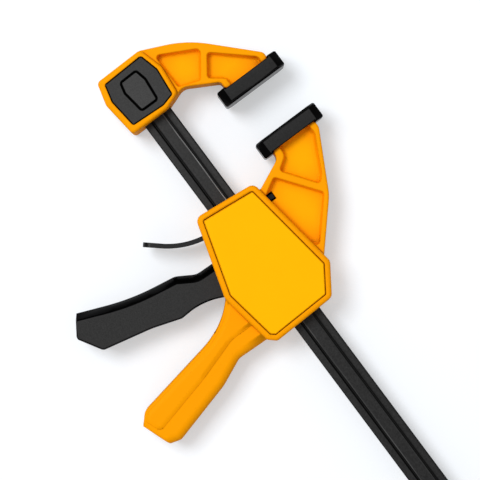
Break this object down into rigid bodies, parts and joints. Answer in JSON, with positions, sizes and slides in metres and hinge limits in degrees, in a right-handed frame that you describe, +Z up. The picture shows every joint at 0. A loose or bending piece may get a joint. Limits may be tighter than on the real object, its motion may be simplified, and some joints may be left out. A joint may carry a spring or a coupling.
{
  "type": "quick release bar clamp",
  "caption": "One-handed bar clamp: a fixed jaw on a grooved steel bar and a sliding jaw with pistol grip, trigger drive, release lever and rubber jaw pads.",
  "frame": {"origin": "centre of the fixed jaw's working face, on the clamp's mirror plane", "axes": "+X is the fixed jaw face's normal and runs along the bar to its tail, +Y runs from the bar to the jaws, +Z is up out of the clamp's side, which lies flat on its back"},
  "size_m": [0.4865, 0.2056, 0.035],
  "materials": {
    "bar_steel": "black oxide with a satin lacquer",
    "pin_steel": "ground, lightly oiled",
    "jaw_nylon": "glass-filled nylon, moulded, fine spark texture",
    "cover_nylon": "nylon, moulded, finer texture than the jaws",
    "panel_plastic": "ABS, moulded, satin",
    "button_plastic": "ABS, moulded, satin",
    "pad_rubber": "soft TPE, moulded, matt",
    "spring_steel": "music wire",
    "screw_steel": "zinc plated",
    "trigger_nylon": "glass-filled nylon, moulded",
    "plate_steel": "hardened, stamped",
    "lever_steel": "black oxide, stamped"
  },
  "bodies": {
    "root": {"bar": "bar_steel", "bar_stop_pin": "pin_steel", "fixed_jaw": "jaw_nylon", "head_panel_front": "panel_plastic", "head_panel_back": "panel_plastic", "fixed_jaw_pad": "pad_rubber", "button_spring": "spring_steel"},
    "jaw_lock": {"release_button": "button_plastic", "lock_pin": "pin_steel"},
    "moving_jaw": {"jaw_body": "jaw_nylon", "cover_front": "cover_nylon", "cover_back": "cover_nylon", "moving_jaw_pad": "pad_rubber", "cover_screws": "screw_steel", "trigger_pin": "pin_steel", "brake_spring": "spring_steel", "drive_spring": "spring_steel"},
    "trigger": {"trigger": "trigger_nylon"},
    "drive": {"drive_plate_1": "plate_steel", "drive_plate_2": "plate_steel", "drive_plate_3": "plate_steel"},
    "brake": {"brake_lever": "lever_steel"}
  },
  "joints": [
    {"name": "jaw_slide", "type": "slide", "parent": "root", "child": "moving_jaw", "axis": [1, 0, 0], "range_m": [-0.0287, 0.276]},
    {"name": "button_press", "type": "slide", "parent": "root", "child": "jaw_lock", "axis": [0, 0, -1], "range_m": [0, 0.0032], "stiffness_N_per_m": 800, "springref_m": -0.003, "deforming": ["button_spring"]},
    {"name": "trigger_pull", "type": "hinge", "parent": "moving_jaw", "child": "trigger", "pos_m": [0.091, -0.0423, 0], "axis": [0, 0, 1], "range_deg": [0, 15], "stiffness_Nm_per_rad": 1.6, "springref_deg": -11.46},
    {"name": "drive_slide", "type": "slide", "parent": "moving_jaw", "child": "drive", "axis": [1, 0, 0], "range_m": [0, 0.0086], "deforming": ["drive_spring"]},
    {"name": "lever_release", "type": "hinge", "parent": "moving_jaw", "child": "brake", "pos_m": [0.0607, -0.0335, 0], "axis": [0, 0, 1], "range_deg": [0, 6], "stiffness_Nm_per_rad": 4, "springref_deg": -6.88, "deforming": ["brake_spring"]}
  ],
  "couplings": [
    {"joint": "drive_slide", "follows": "trigger_pull", "m_per_rad": 0.03239}
  ]
}
